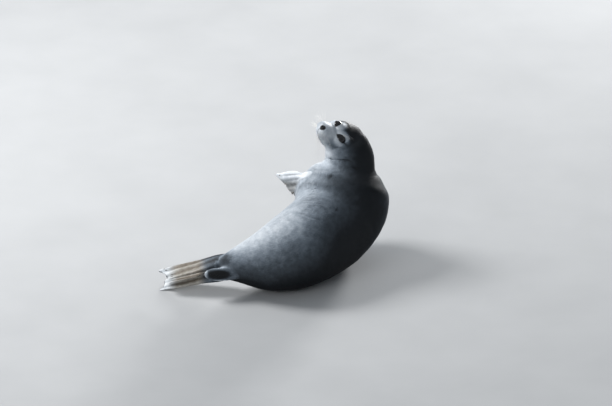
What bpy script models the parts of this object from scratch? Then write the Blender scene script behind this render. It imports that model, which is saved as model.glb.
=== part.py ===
"""Life-size museum model of a young Baikal seal.

It lies on its right side, curled towards its belly, and looks back over its left shoulder.
Metres, +Z up. The seal lies along X with its back towards -Y; the floor is Z = 0.
The body is one form, parted by thin cuts into head, neck, chest, abdomen, hips, tail and four flippers.
"""
import math

import bmesh
import bpy
import numpy as np
from mathutils import Matrix, Vector
from mathutils.bvhtree import BVHTree

GAP = 0.0004            # clearance left at every cut between two pieces
FLOOR = 0.0             # the level of the flats that the seal lies on
FLOOR_BULGE = 0.35      # how far flesh pressed by the floor spreads sideways, per metre pressed

EYE_RADIUS = 0.0215     # eyeball
EYE_PROUD = 0.0085      # height of the eyeball's cap over the face
EYE_SPACING = 0.061     # between the centres of the two eyeballs
EYE_AHEAD = 0.003       # the eyes' place along the muzzle
EYE_FACING = (0.46, 0.52, 0.70)     # forward, outward and upward shares of the way each eye looks

# How many cross-sections and sides each form is drawn with.
TRUNK_SIDES = 32
TRUNK_PER_STATION = 2.6
CHEST_PER_STATION = 3
HEAD_STATIONS, HEAD_SIDES = 22, 30
NECK_STATIONS, NECK_SIDES = 9, 24
TAIL_STATIONS, TAIL_SIDES = 9, 14
FLIPPER_STATIONS, FLIPPER_COLUMNS = 11, 17
EYE_RINGS, EYE_SIDES = 8, 16
CLAW_SIDES = 5


# ---------------------------------------------------------------- general shape helpers
def unit(v):
    v = np.asarray(v, float)
    return v / np.linalg.norm(v, axis=-1, keepdims=True)


def catmull_rom(rows, t):
    """A smooth curve through rows (one per whole number of t), read at the values t."""
    rows = np.asarray(rows, float)
    padded = np.vstack([2 * rows[0] - rows[1], rows, 2 * rows[-1] - rows[-2]])
    t = np.clip(np.atleast_1d(t), 0, len(rows) - 1)
    k = np.minimum(t.astype(int), len(rows) - 2)
    f = (t - k)[:, None]
    p0, p1, p2, p3 = (padded[k + i] for i in range(4))
    return 0.5 * (2 * p1 + (p2 - p0) * f + (2 * p0 - 5 * p1 + 4 * p2 - p3) * f**2
                  + (3 * p1 - p0 - 3 * p2 + p3) * f**3)


def smoothstep(x, low=0.0, high=1.0):
    x = np.clip((np.asarray(x, float) - low) / (high - low), 0, 1)
    return x * x * (3 - 2 * x)


def press_on_floor(rings, level=FLOOR, bulge=FLOOR_BULGE):
    """Flesh under the floor is pressed flat at its level and spreads a little sideways."""
    rings = np.array(rings, float)
    depth = np.maximum(level - rings[..., 2], 0)
    outward = rings[..., :2] - rings[..., :2].mean(axis=1, keepdims=True)
    outward /= np.linalg.norm(outward, axis=-1, keepdims=True) + 1e-9
    rings[..., :2] += outward * (depth * bulge)[..., None]
    rings[..., 2] = np.maximum(rings[..., 2], level)
    return rings


def loft(name, rings, flat_ends=False):
    """A closed mesh through rings (stations x points x 3).

    The ends of a flat form are closed by a strip of faces from one side to the other.
    """
    count = rings.shape[1]
    bm = bmesh.new()
    grid = [[bm.verts.new(p) for p in ring] for ring in rings]
    for lower, upper in zip(grid, grid[1:]):
        for j in range(count):
            k = (j + 1) % count
            bm.faces.new((lower[j], lower[k], upper[k], upper[j]))
    for ring in (grid[0], grid[-1]):
        if not flat_ends:
            bm.faces.new(ring)
            continue
        for j in range(count // 2):
            strip = (ring[j], ring[j + 1], ring[(count - j - 1) % count], ring[(count - j) % count])
            bm.faces.new(list(dict.fromkeys(strip)))
    bmesh.ops.recalc_face_normals(bm, faces=bm.faces)
    bmesh.ops.triangulate(bm, faces=bm.faces)
    mesh = bpy.data.meshes.new(name)
    bm.to_mesh(mesh)
    if bm.calc_volume(signed=True) < 0:
        mesh.flip_normals()
    bm.free()
    mesh.shade_smooth()
    obj = bpy.data.objects.new(name, mesh)
    bpy.context.scene.collection.objects.link(obj)
    return obj


def cut(target, cutter):
    """Removes the cutter's space from the target. The cutter is a helper, not a part of the model."""
    modifier = target.modifiers.new("cut_" + cutter.name, "BOOLEAN")
    modifier.operation = "DIFFERENCE"
    modifier.object = cutter
    cutter.hide_render = True
    cutter.display_type = "WIRE"


def paint(obj, colour, roughness):
    """Gives a part its own material."""
    made = bpy.data.materials.new(obj.name)
    made.use_nodes = True
    shader = made.node_tree.nodes["Principled BSDF"]
    shader.inputs["Base Color"].default_value = (*colour, 1)
    shader.inputs["Roughness"].default_value = roughness
    shader.inputs["Metallic"].default_value = 0.0
    obj.data.materials.append(made)


# ---------------------------------------------------------------- trunk
# One row for each station from the tail's root to the collar, where the neck comes out:
# centre x, y, z; the way the back faces x, y, z; half width side to side; half depth back to belly.
TRUNK = (
    (-0.318, 0.026, 0.096, 0.00, -1.0, 0.05, 0.042, 0.035),
    (-0.288, 0.027, 0.101, 0.00, -1.0, 0.05, 0.056, 0.048),
    (-0.245, 0.031, 0.109, 0.02, -1.0, 0.05, 0.077, 0.066),
    (-0.152, 0.037, 0.121, 0.06, -1.0, 0.06, 0.121, 0.112),
    (-0.060, 0.063, 0.138, 0.16, -0.98, 0.06, 0.149, 0.153),
    (0.026, 0.134, 0.152, 0.26, -0.96, 0.08, 0.166, 0.163),
    (0.118, 0.262, 0.168, 0.40, -0.91, 0.10, 0.182, 0.169),
    (0.166, 0.356, 0.226, 0.47, -0.86, 0.18, 0.196, 0.184),
    (0.190, 0.402, 0.298, 0.49, -0.83, 0.28, 0.170, 0.172),
    (0.203, 0.417, 0.336, 0.50, -0.82, 0.30, 0.130, 0.142),
    (0.210, 0.426, 0.362, 0.50, -0.82, 0.30, 0.088, 0.090),
)
HIPS_END, ABDOMEN_END = 3.6, 6.3      # stations of the two cuts across the trunk
COLLAR = len(TRUNK) - 1


def trunk_frame(t):
    """Centre, forward, left and dorsal directions, half width and half depth at the stations t."""
    t = np.atleast_1d(np.asarray(t, float))
    rows = catmull_rom(TRUNK, t)
    step = 0.5      # a long chord keeps the sections from crossing on the inside of the bend
    forward = unit(catmull_rom(TRUNK, t + step)[:, :3] - catmull_rom(TRUNK, t - step)[:, :3])
    dorsal = rows[:, 3:6]
    dorsal = unit(dorsal - (dorsal * forward).sum(1, keepdims=True) * forward)
    left = np.cross(dorsal, forward)
    return rows[:, :3], forward, left, dorsal, rows[:, 6], rows[:, 7]


def trunk_rings(t, grow=0.0):
    centre, _, left, dorsal, side, depth = trunk_frame(t)
    angle = np.linspace(0, 2 * math.pi, TRUNK_SIDES, endpoint=False)
    across = (side + grow)[:, None] * np.sin(angle)
    up = (depth + grow)[:, None] * np.cos(angle)
    return centre[:, None] + across[..., None] * left[:, None] + up[..., None] * dorsal[:, None]


def trunk_piece(name, start, end, per_station=TRUNK_PER_STATION, grow=0.0):
    """The trunk between two stations, drawn in at its cut ends by half the gap."""
    count = max(4, round((end - start) * per_station))
    rings = trunk_rings(np.linspace(start, end, count + 1), grow)
    _, forward, *_ = trunk_frame([start, end])
    rings[0] += forward[0] * (GAP / 2 - grow)
    rings[-1] -= forward[1] * (GAP / 2 - grow)
    return loft(name, press_on_floor(rings, FLOOR - grow))


# ---------------------------------------------------------------- head and neck
# The head's own axes: forward along the muzzle, left, and dorsal (up through the crown).
HEAD_AT = Vector((0.158, 0.408, 0.514))       # midway between the eyes
HEAD_FORWARD = Vector((-0.607, -0.566, 0.558)).normalized()
HEAD_DORSAL = Vector((0.777, -0.272, 0.568)).normalized()
HEAD_LEFT = HEAD_DORSAL.cross(HEAD_FORWARD).normalized()
# Stations from the back of the skull to the tip of the nose: forward, half width, top, bottom.
HEAD = (
    (-0.128, 0.030, 0.000, -0.050),
    (-0.120, 0.049, 0.022, -0.066),
    (-0.100, 0.063, 0.035, -0.080),
    (-0.070, 0.069, 0.039, -0.088),
    (-0.040, 0.068, 0.034, -0.090),
    (-0.015, 0.064, 0.026, -0.089),
    (0.010, 0.056, 0.014, -0.086),
    (0.034, 0.048, 0.004, -0.080),
    (0.056, 0.043, -0.002, -0.072),
    (0.073, 0.038, -0.007, -0.063),
    (0.085, 0.030, -0.012, -0.052),
    (0.092, 0.013, -0.019, -0.038),
)
# Soft swellings of the face: centre forward, left, dorsal; height; reach. Each is on both sides.
SWELLINGS = (
    (0.070, 0.021, -0.030, 0.0050, 0.020),    # whisker pads
    (0.004, 0.040, 0.004, 0.0060, 0.022),     # lids and brows
    (-0.020, 0.056, -0.034, 0.0050, 0.032),   # cheeks
    (0.070, 0.000, -0.054, -0.0030, 0.014),   # under the chin
)
# The neck from inside the chest to inside the skull: centre x, y, z, radius.
NECK = (
    (0.194, 0.386, 0.325, 0.108),
    (0.197, 0.415, 0.365, 0.104),
    (0.197, 0.428, 0.400, 0.100),
    (0.189, 0.432, 0.436, 0.094),
    (0.189, 0.434, 0.467, 0.083),
    (0.188, 0.432, 0.484, 0.055),
)


def head_to_world(points):
    axes = np.array([HEAD_FORWARD, HEAD_LEFT, HEAD_DORSAL])
    return np.asarray(points) @ axes + np.array(HEAD_AT)


def head_rings(count, sides, grow=0.0):
    """The head's cross-sections in its own axes, fuller low down than an ellipse, with the swellings."""
    rows = catmull_rom(HEAD, np.linspace(0, len(HEAD) - 1, count))
    forward, half, top, bottom = rows.T
    angle = np.linspace(0, 2 * math.pi, sides, endpoint=False)
    squareness = 0.88                                  # 1 is an ellipse, less is fuller at the corners
    across = np.sign(np.sin(angle)) * np.abs(np.sin(angle)) ** squareness
    up = np.sign(np.cos(angle)) * np.abs(np.cos(angle)) ** squareness
    middle, height = (top + bottom) / 2, (top - bottom) / 2
    rings = np.empty((count, sides, 3))
    rings[..., 0] = forward[:, None]
    rings[..., 1] = (half + grow)[:, None] * across
    rings[..., 2] = middle[:, None] + (height + grow)[:, None] * up
    spread = np.stack([0 * rings[..., 1], rings[..., 1], rings[..., 2] - middle[:, None]], -1)
    outward = spread / (np.linalg.norm(spread, axis=-1, keepdims=True) + 1e-9)
    swell = np.zeros(rings.shape[:2])
    for x, y, z, rise, reach in SWELLINGS:
        for side in (-1, 1) if y else (1,):
            away = np.linalg.norm(rings - (x, side * y, z), axis=-1)
            swell += rise * np.exp(-((away / reach) ** 2))
    return rings + outward * swell[..., None]


def make_head(name, grow=0.0):
    rings = head_rings(HEAD_STATIONS, HEAD_SIDES, grow)
    if grow:
        rings[0, :, 0] -= grow
        rings[-1, :, 0] += grow
    return loft(name, head_to_world(rings))


def make_neck(name, grow=0.0):
    rows = catmull_rom(NECK, np.linspace(0, len(NECK) - 1, NECK_STATIONS))
    along = unit(np.gradient(rows[:, :3], axis=0))
    side = unit(np.cross(along, (0, 1, 0)))
    front = np.cross(side, along)
    angle = np.linspace(0, 2 * math.pi, NECK_SIDES, endpoint=False)
    radius = rows[:, 3, None, None] + grow
    ring = np.cos(angle)[:, None] * side[:, None] + np.sin(angle)[:, None] * front[:, None]
    return loft(name, rows[:, None, :3] + radius * ring)


def eye_centres(head):
    """Centres of the eyeballs, set under the head's surface so that each cap stands proud of it."""
    surface = BVHTree.FromObject(head, bpy.context.evaluated_depsgraph_get())
    ahead, outward, upward = EYE_FACING
    found = []
    for side in (1, -1):
        facing = HEAD_FORWARD * ahead + HEAD_LEFT * (side * outward) + HEAD_DORSAL * upward
        facing.normalize()
        within = HEAD_AT + HEAD_LEFT * (side * EYE_SPACING / 2) + HEAD_FORWARD * EYE_AHEAD
        hit, *_ = surface.ray_cast(within + facing * 0.1, -facing)
        found.append(hit - facing * (EYE_RADIUS - EYE_PROUD))
    return found


def ball(name, centre, radius):
    bm = bmesh.new()
    bmesh.ops.create_uvsphere(bm, u_segments=EYE_SIDES, v_segments=EYE_RINGS, radius=radius)
    bmesh.ops.triangulate(bm, faces=bm.faces)
    mesh = bpy.data.meshes.new(name)
    bm.to_mesh(mesh)
    bm.free()
    mesh.transform(Matrix.Translation(centre) @ HEAD_FORWARD.to_track_quat("Z", "Y").to_matrix().to_4x4())
    mesh.shade_smooth()
    obj = bpy.data.objects.new(name, mesh)
    bpy.context.scene.collection.objects.link(obj)
    return obj


# ---------------------------------------------------------------- flippers, tail and claws
class Flipper:
    """A webbed hand or foot: a flat fan of five digits that grows out of a thick limb.

    at: middle of its root. along: the way it points. lead: the way from the middle to its first digit.
    lengths: each digit's length from the root. root, fan: half widths at the root and at the tips.
    limb, digit, web: half thicknesses. sweep: how far the tips lean towards the lead.
    curl: how far the tips bend out of the plane. claw: length of each claw.
    outer: the side of the plane, -1 or 1, that is the back of the hand or foot.
    """

    def __init__(self, name, at, along, lead, lengths, root, fan, limb, digit, web, claw,
                 sweep=0.0, curl=0.0, outer=-1):
        self.name, self.at = name, np.array(at, float)
        self.along = unit(along)
        lead = np.array(lead, float)
        self.lead = unit(lead - lead.dot(self.along) * self.along)
        self.flat = np.cross(self.along, self.lead)
        self.lengths, self.root, self.fan = lengths, root, fan
        self.limb, self.digit, self.web = limb, digit, web
        self.sweep, self.curl, self.claw = sweep, curl, claw
        self.back = self.flat * outer

    def length_at(self, across):
        """Length of the fan at across, from -1 at the last digit to 1 at the first, less in between."""
        place = (1 - np.asarray(across, float)) * 2
        smooth = catmull_rom(np.array(self.lengths)[:, None], place)[:, 0]
        between = np.abs(np.sin(math.pi * place)) ** 3
        return smooth * (1 - 0.05 * between)

    def middle_point(self, along, across):
        """The point of the middle surface at a share along the length and a place across."""
        across = np.atleast_1d(np.asarray(across, float))
        length = self.length_at(across)
        half = self.root + (self.fan - self.root) * smoothstep(along, 0.1, 1.0)
        bend = self.curl * along**2
        return (self.at + (length * along)[:, None] * self.along
                + (across * half + self.sweep * along**2)[:, None] * self.lead
                + bend * self.flat)

    def thickness(self, along, across):
        """Half thickness: a full limb that thins into webs between five ridged digits."""
        place = (1 - across) * 2
        ridge = np.cos(math.pi * place) ** 2
        fan = self.web + (self.digit - self.web) * ridge * (1 - 0.45 * along)
        solid = self.limb * np.sqrt(np.maximum(1 - 0.9 * across**2, 0.05))
        share = smoothstep(along, 0.05, 0.62)
        thick = solid * (1 - share) + fan * share
        tip = np.sqrt(np.maximum(1 - along**7, 0.0))
        rim = np.sqrt(np.maximum(1 - np.abs(across) ** 9, 0.0))
        return np.maximum(thick * tip, 0.0012) * rim

    def rings(self, grow=0.0):
        place = np.linspace(-1, 1, FLIPPER_COLUMNS)
        place = place + 0.04 * np.sin(math.pi * place)
        out = []
        for along in np.sin(np.linspace(0, math.pi / 2, FLIPPER_STATIONS)):
            middle = self.middle_point(along, place)
            half = (self.thickness(along, place) + grow)[:, None] * self.flat
            rim = self.lead * grow
            upper, lower = middle + half, middle - half
            for edge, sign in ((0, -1), (-1, 1)):
                upper[edge] = lower[edge] = middle[edge] + sign * rim
            out.append(np.vstack([upper, lower[-2:0:-1]]))
        rings = np.array(out)
        rings[-1] += self.along * grow
        rings[0] -= self.along * grow
        return rings

    def make(self, name=None, grow=0.0):
        rings = press_on_floor(self.rings(grow), FLOOR - grow, 0)
        return loft(name or self.name, rings, flat_ends=True)

    def claws(self):
        """One curved claw on the back of each digit's tip, its root half sunk in the digit."""
        made = []
        for i, place in enumerate((0.85, 0.5, 0.0, -0.5, -0.85)):
            across = np.array([place])
            tip = self.middle_point(0.96, across)[0]
            along = unit(tip - self.middle_point(0.80, across)[0])
            root = tip + self.back * (self.thickness(0.96, across)[0] + self.claw * 0.06)
            made.append(claw(f"{self.name}_claw_{i + 1}", root, along, -self.back, self.claw))
        return made


def claw(name, at, along, down, length):
    """A tapered claw that curves towards down; its root is sunk in the digit."""
    down = unit(np.array(down) - np.dot(down, along) * along)
    side = np.cross(along, down)
    angle = np.linspace(0, 2 * math.pi, CLAW_SIDES, endpoint=False)
    rings = []
    for share in (0.0, 0.5, 1.0):
        centre = at + along * length * (share - 0.4) + down * length * 0.12 * share**2
        radius = length * 0.12 * (1 - share) ** 0.6 + 0.0006
        rings.append(centre + radius * (np.cos(angle)[:, None] * side + np.sin(angle)[:, None] * down))
    return loft(name, press_on_floor(rings, bulge=0))


# Hands: root in the side of the chest, first digit leading and longest.
HAND = dict(root=0.037, fan=0.041, limb=0.024, digit=0.0105, web=0.0044, claw=0.024)
# Feet: the digit on the belly's side is longest, and the middle ones are shorter.
FOOT = dict(root=0.031, fan=0.038, limb=0.025, digit=0.0092, web=0.0036, claw=0.014)

FLIPPERS = (
    Flipper("fore_flipper_left", (0.066, 0.326, 0.338), (-0.79, 0.55, -0.25), (0.05, 0.20, 0.95),
            (0.212, 0.188, 0.167, 0.150, 0.137), sweep=-0.016, curl=0.010, **HAND),
    Flipper("fore_flipper_right", (0.130, 0.422, 0.0625), (0.05, 0.83, -0.56), (1.0, 0.0, 0.10),
            (0.186, 0.185, 0.180, 0.173, 0.165), curl=-0.046, **HAND),
    Flipper("hind_flipper_left", (-0.292, 0.048, 0.121), (-0.975, -0.02, -0.175), (0.0, 1.0, 0.12),
            (0.276, 0.254, 0.238, 0.232, 0.240), curl=0.016, **FOOT),
    Flipper("hind_flipper_right", (-0.292, 0.036, 0.070), (-0.955, 0.10, -0.300), (0.0, 1.0, 0.04),
            (0.258, 0.248, 0.243, 0.250, 0.272), curl=-0.013, outer=1, **FOOT),
)

# Tail: a short flattened stub on the back's side of the feet: centre x, y, z, half width, half thickness.
TAIL = (
    (-0.250, -0.014, 0.099, 0.027, 0.017),
    (-0.282, -0.023, 0.097, 0.027, 0.016),
    (-0.320, -0.029, 0.096, 0.026, 0.0135),
    (-0.350, -0.032, 0.097, 0.023, 0.011),
    (-0.368, -0.033, 0.099, 0.016, 0.0075),
    (-0.376, -0.033, 0.100, 0.006, 0.003),
)


def make_tail(name, grow=0.0):
    rows = catmull_rom(TAIL, np.linspace(0, len(TAIL) - 1, TAIL_STATIONS))
    along = unit(np.gradient(rows[:, :3], axis=0))
    wide = unit(np.cross(along, (0, -1, 0.2)))
    thin = np.cross(along, wide)
    angle = np.linspace(0, 2 * math.pi, TAIL_SIDES, endpoint=False)
    across = (rows[:, 3] + grow)[:, None, None] * np.cos(angle)[:, None] * wide[:, None]
    through = (rows[:, 4] + grow)[:, None, None] * np.sin(angle)[:, None] * thin[:, None]
    return loft(name, rows[:, None, :3] + across + through)


# ---------------------------------------------------------------- assembly
# Colour and roughness of each part.
BACK = ((0.11, 0.12, 0.14), 0.55)
FACE = ((0.17, 0.18, 0.20), 0.50)
FLANK = ((0.24, 0.26, 0.29), 0.55)
HAND_SKIN = ((0.38, 0.36, 0.36), 0.60)
FOOT_SKIN = ((0.20, 0.16, 0.12), 0.45)
EYE = ((0.012, 0.012, 0.016), 0.08)
HORN = ((0.05, 0.045, 0.04), 0.35)


def make_trunk():
    paint(trunk_piece("hips", 0, HIPS_END), *BACK)
    paint(trunk_piece("abdomen", HIPS_END, ABDOMEN_END), *FLANK)
    paint(trunk_piece("chest", ABDOMEN_END, COLLAR, CHEST_PER_STATION), *FLANK)
    tail = make_tail("tail")
    cut(tail, trunk_piece("tail_space", 0, HIPS_END, grow=GAP))
    paint(tail, *FOOT_SKIN)


def make_head_and_neck():
    head = make_head("head")
    for side, centre in zip(("left", "right"), eye_centres(head)):
        paint(ball("eye_" + side, centre, EYE_RADIUS), *EYE)
        cut(head, ball("socket_" + side, centre, EYE_RADIUS + GAP))
    paint(head, *FACE)
    neck = make_neck("neck")
    cut(neck, trunk_piece("neck_root_space", ABDOMEN_END - 0.5, COLLAR, CHEST_PER_STATION, GAP))
    cut(neck, make_head("head_space", GAP))
    paint(neck, *BACK)


def make_flippers():
    hips_space = trunk_piece("hips_space", 0, HIPS_END, grow=GAP)
    chest_space = trunk_piece("chest_space", ABDOMEN_END - 1.0, COLLAR, CHEST_PER_STATION, GAP)
    for flipper in FLIPPERS:
        hind = flipper.name.startswith("hind")
        limb = flipper.make()
        cut(limb, hips_space if hind else chest_space)
        paint(limb, *(FOOT_SKIN if hind else HAND_SKIN))
        limb_space = flipper.make(flipper.name + "_space", GAP)
        for piece in flipper.claws():
            cut(piece, limb_space)
            paint(piece, *HORN)


def centre_on_floor():
    """Moves everything so that the origin is the middle of the bounding box's bottom."""
    bpy.context.view_layer.update()
    graph = bpy.context.evaluated_depsgraph_get()
    low, high = np.full(3, np.inf), np.full(3, -np.inf)
    for obj in bpy.data.objects:
        if obj.hide_render:
            continue
        mesh = obj.evaluated_get(graph).to_mesh()
        co = np.empty(len(mesh.vertices) * 3, np.float32)
        mesh.vertices.foreach_get("co", co)
        co = co.reshape(-1, 3)
        low, high = np.minimum(low, co.min(0)), np.maximum(high, co.max(0))
    shift = Vector((-(low[0] + high[0]) / 2, -(low[1] + high[1]) / 2, -low[2]))
    for obj in bpy.data.objects:
        obj.location += shift


for old in list(bpy.data.objects):
    bpy.data.objects.remove(old)
make_trunk()
make_head_and_neck()
make_flippers()
centre_on_floor()
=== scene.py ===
"""The looks of a life-size Baikal seal that lies on its right side and looks back over its left shoulder.

One skin is made from the frame's flesh nodes and sculpted: lids, nostrils, mouth, ears, folds of skin.
Over it lie short flat tufts of fur, whiskers and brow bristles. The eyes and claws are pieces of their own.
Metres, in the frame's own axes: +Z up, the back towards -Y.
"""
import math
from contextlib import contextmanager
from functools import cache

import bmesh
import bpy
import numpy as np
from numpy.linalg import norm, svd
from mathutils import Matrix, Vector
from mathutils.bvhtree import BVHTree


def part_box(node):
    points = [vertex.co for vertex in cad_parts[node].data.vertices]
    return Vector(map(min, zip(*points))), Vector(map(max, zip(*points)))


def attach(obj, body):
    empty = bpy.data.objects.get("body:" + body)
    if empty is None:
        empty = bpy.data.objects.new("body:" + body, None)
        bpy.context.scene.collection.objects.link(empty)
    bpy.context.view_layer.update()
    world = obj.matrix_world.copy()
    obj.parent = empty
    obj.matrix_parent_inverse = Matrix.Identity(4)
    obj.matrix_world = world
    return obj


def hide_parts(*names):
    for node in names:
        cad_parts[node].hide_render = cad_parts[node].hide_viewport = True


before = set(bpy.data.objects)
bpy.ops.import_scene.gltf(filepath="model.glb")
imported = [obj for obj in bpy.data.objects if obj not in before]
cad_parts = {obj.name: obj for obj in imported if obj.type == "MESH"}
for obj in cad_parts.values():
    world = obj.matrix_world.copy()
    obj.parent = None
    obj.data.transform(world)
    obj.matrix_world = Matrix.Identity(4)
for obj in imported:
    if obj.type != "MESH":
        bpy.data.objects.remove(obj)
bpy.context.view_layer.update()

FLIPPERS = ("fore_flipper_left", "fore_flipper_right", "hind_flipper_left", "hind_flipper_right")
TRUNK_NODES = ("hips", "abdomen", "chest", "neck")
FLESH = TRUNK_NODES + ("head", "tail") + FLIPPERS
EYE_NODES = ("eye_left", "eye_right")  # they fill the sockets while the skin is formed
SAME_POINT = 1e-5  # points nearer to each other than this are one
CLOSE_CUTS = 0.0006  # how far each solid swells so that the cuts between them close
CLOSE_LIMB = 0.0024  # the same for the thin flippers and tail, which would break up otherwise
VOXEL = 0.0025  # size of the skin's first mesh
SKIN_TRIANGLES = 190000


# ---- vectors and curves
def unit(v):
    v = np.asarray(v, float)
    return v / (norm(v, axis=-1, keepdims=True) + 1e-12)


def square_to(vectors, axes):
    """The part of each vector at right angles to its axis, at length 1."""
    return unit(vectors - axes * (vectors * axes).sum(1, keepdims=True))


def ease(x, low=0.0, high=1.0):
    x = np.clip((np.asarray(x, float) - low) / (high - low), 0, 1)
    return x * x * (3 - 2 * x)


def bump_at(distance, reach):
    """A soft bump: 1 at no distance, falling to nothing over about twice the reach."""
    return np.exp(-((distance / reach) ** 2))


def distance(points, place):
    return norm(points - np.asarray(place), axis=1)


def bump_near(points, place, reach):
    return bump_at(distance(points, place), reach)


def curve_through(rows, t):
    """A smooth curve through rows (one per whole number of t), read at the values t."""
    rows = np.asarray(rows, float)
    padded = np.vstack([2 * rows[0] - rows[1], rows, 2 * rows[-1] - rows[-2]])
    t = np.clip(np.atleast_1d(t), 0, len(rows) - 1)
    k = np.minimum(t.astype(int), len(rows) - 2)
    f = (t - k)[:, None]
    p0, p1, p2, p3 = (padded[k + i] for i in range(4))
    return 0.5 * (2 * p1 + (p2 - p0) * f + (2 * p0 - 5 * p1 + 4 * p2 - p3) * f**2
                  + (3 * p1 - p0 - 3 * p2 + p3) * f**3)


def distance_to_line(points, line, pieces=24):
    """Distance from each point to a smooth line through a few points, and the share of the way along it."""
    line = curve_through(line, np.linspace(0, len(line) - 1, pieces + 1))
    best, share = np.full(len(points), np.inf), np.zeros(len(points))
    for i, (start, end) in enumerate(zip(line, line[1:])):
        along = end - start
        f = np.clip((points - start) @ along / (along @ along), 0, 1)
        apart = norm(points - start - f[:, None] * along, axis=1)
        closer = apart < best
        best[closer] = apart[closer]
        share[closer] = (i + f[closer]) / pieces
    return best, share


def value_noise(points, size, seed):
    """Smooth noise from -1 to 1 with lumps of about the given size."""
    grid = points / size
    cell = np.floor(grid).astype(np.int64)
    f = grid - cell
    f = f * f * (3 - 2 * f)
    total = np.zeros(len(points))
    for offset in np.ndindex(2, 2, 2):
        x, y, z = (cell + offset).T
        mixed = (x * 73856093) ^ (y * 19349663) ^ (z * 83492791) ^ (seed * 2654435761)
        mixed = (mixed ^ (mixed >> 13)) * 1274126177 & 0xFFFFFFFF
        share = np.where(offset, f, 1 - f).prod(axis=1)
        total += share * (mixed / 0x7FFFFFFF - 1)
    return total


# ---- the body's own axes
# The spine from the tail's root to the skull: x, y and z in millimetres, and the way the back faces, in
# hundredths.
SPINE = np.array([
    (-216, -237, 96, 0, -100, 5), (-186, -236, 101, 0, -100, 5), (-143, -232, 109, 2, -100, 5),
    (-50, -226, 121, 6, -100, 6), (42, -200, 138, 16, -98, 6), (128, -129, 152, 26, -96, 8),
    (220, -1, 168, 40, -91, 10), (268, 93, 226, 47, -86, 18), (292, 139, 298, 49, -83, 28),
    (305, 154, 336, 50, -82, 30), (312, 163, 362, 50, -82, 30), (299, 165, 400, 56, -75, 35),
    (291, 169, 436, 65, -60, 45),
]) / (1000, 1000, 1000, 100, 100, 100)
SPINE_STEPS = 240


class Spine:
    """Reads points' stations along the spine and angles round it: 0 on the back, 90 on the left flank."""

    def __init__(self, rows):
        self.t = np.linspace(0, len(rows) - 1, SPINE_STEPS)
        read = curve_through(rows, self.t)
        ahead = curve_through(rows, self.t + 0.5) - curve_through(rows, self.t - 0.5)
        self.centre, self.forward = read[:, :3], unit(ahead[:, :3])
        self.dorsal = square_to(read[:, 3:], self.forward)
        self.left = np.cross(self.dorsal, self.forward)

    def read(self, points):
        nearest = np.empty(len(points), int)
        for start in range(0, len(points), 20000):
            part = points[start:start + 20000]
            apart = ((part[:, None] - self.centre[None]) ** 2).sum(-1)
            nearest[start:start + 20000] = apart.argmin(axis=1)
        away = points - self.centre[nearest]
        angle = np.degrees(np.arctan2((away * self.left[nearest]).sum(1),
                                      (away * self.dorsal[nearest]).sum(1)))
        return self.t[nearest], angle, self.forward[nearest]


class Axes:
    """A place with three axes of its own."""

    def __init__(self, origin, forward, towards):
        self.origin = np.asarray(origin, float)
        self.forward = unit(forward)
        towards = np.asarray(towards, float)
        self.left = unit(towards - towards.dot(self.forward) * self.forward)
        self.up = np.cross(self.forward, self.left)
        self.rows = np.array([self.forward, self.left, self.up])

    def to_local(self, points):
        return (points - self.origin) @ self.rows.T

    def to_world(self, points):
        return np.asarray(points, float) @ self.rows + self.origin


spine = Spine(SPINE)
EYE_SIDES = (("left", 1), ("right", -1))
EYE_CENTRES = {name: np.array(sum(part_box("eye_" + name), Vector()) / 2) for name, _ in EYE_SIDES}
# The head: forward along the muzzle, left, and up through the crown, from midway between the eyes.
head = Axes((EYE_CENTRES["left"] + EYE_CENTRES["right"]) / 2, (-0.607, -0.566, 0.558),
            EYE_CENTRES["left"] - EYE_CENTRES["right"])
NOSE_TIP = (0.09, 0, -0.026)
NOSE_PAD = (0.084, 0, -0.016)

# Each limb: its length, the middle of its root, the way it points, and the way of its first digit.
LIMB_TABLE = (
    ("fore_flipper_left", 0.2, (0.168, 0.063, 0.338), (-0.79, 0.55, -0.25), (0.05, 0.2, 0.95)),
    ("fore_flipper_right", 0.18, (0.232, 0.159, 0.0625), (0.05, 0.83, -0.56), (1, 0, 0.1)),
    ("hind_flipper_left", 0.27, (-0.19, -0.215, 0.121), (-0.975, -0.02, -0.175), (0, 1, 0.12)),
    ("hind_flipper_right", 0.265, (-0.19, -0.227, 0.07), (-0.955, 0.1, -0.3), (0, 1, 0.04)),
    ("tail", 0.126, (-0.148, -0.277, 0.099), (-1, -0.15, 0.02), (0, 0.1, 1)),
)
LIMBS = {name: Axes(*rows) for name, _, *rows in LIMB_TABLE}
LIMB_LENGTH = {name: length for name, length, *_ in LIMB_TABLE}


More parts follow.
